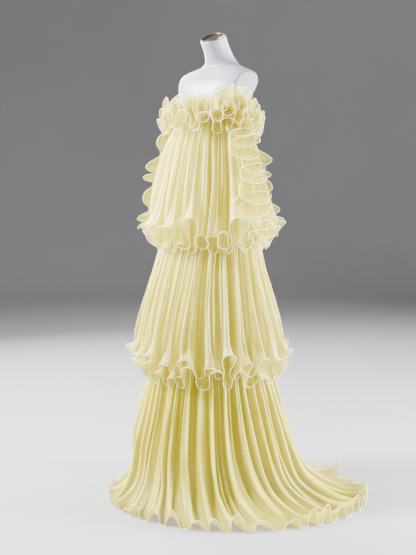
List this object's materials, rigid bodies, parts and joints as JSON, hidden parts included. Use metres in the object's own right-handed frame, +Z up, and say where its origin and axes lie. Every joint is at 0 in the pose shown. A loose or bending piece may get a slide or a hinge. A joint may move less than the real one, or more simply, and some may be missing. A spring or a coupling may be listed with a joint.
{
  "type": "tiered evening dress on a limbless dress form",
  "caption": "Strapless tiered evening dress of sheer pale yellow ruffled cloth with a train, on a limbless dress form with a round base.",
  "frame": {"origin": "centre of the base plate's underside, on the floor under the pole", "axes": "+Z up; the form faces -Y, so the wearer's left is +X; the train sweeps towards +X and +Y"},
  "size_m": [1.0147, 0.9851, 1.8735],
  "materials": {
    "sheer_cloth": "sheer organza with a soft sheen",
    "undercloth": "plain matt lining weight cloth",
    "form_shell": "smooth white, low sheen",
    "neck_cap": "dark bronze, satin",
    "stand": "brushed"
  },
  "bodies": {
    "root": {"form_torso": "form_shell", "form_neck_cap": "neck_cap", "form_pole": "stand", "form_base": "stand", "bodice_front": "undercloth", "bodice_back": "undercloth", "underskirt_front": "undercloth", "underskirt_back": "undercloth", "tier_1_front": "sheer_cloth", "tier_1_back": "sheer_cloth", "tier_1_inner_front": "sheer_cloth", "tier_1_inner_back": "sheer_cloth", "tier_2_front": "sheer_cloth", "tier_2_back": "sheer_cloth", "tier_2_inner_front": "sheer_cloth", "tier_2_inner_back": "sheer_cloth", "tier_3_front": "sheer_cloth", "tier_3_back": "sheer_cloth", "neck_ruffle_upper_front": "sheer_cloth", "neck_ruffle_upper_back": "sheer_cloth", "neck_ruffle_lower_front": "sheer_cloth", "neck_ruffle_lower_back": "sheer_cloth", "cascade_left_fore": "sheer_cloth", "cascade_left_aft": "sheer_cloth", "cascade_right_fore": "sheer_cloth", "cascade_right_aft": "sheer_cloth"}
  },
  "joints": []
}
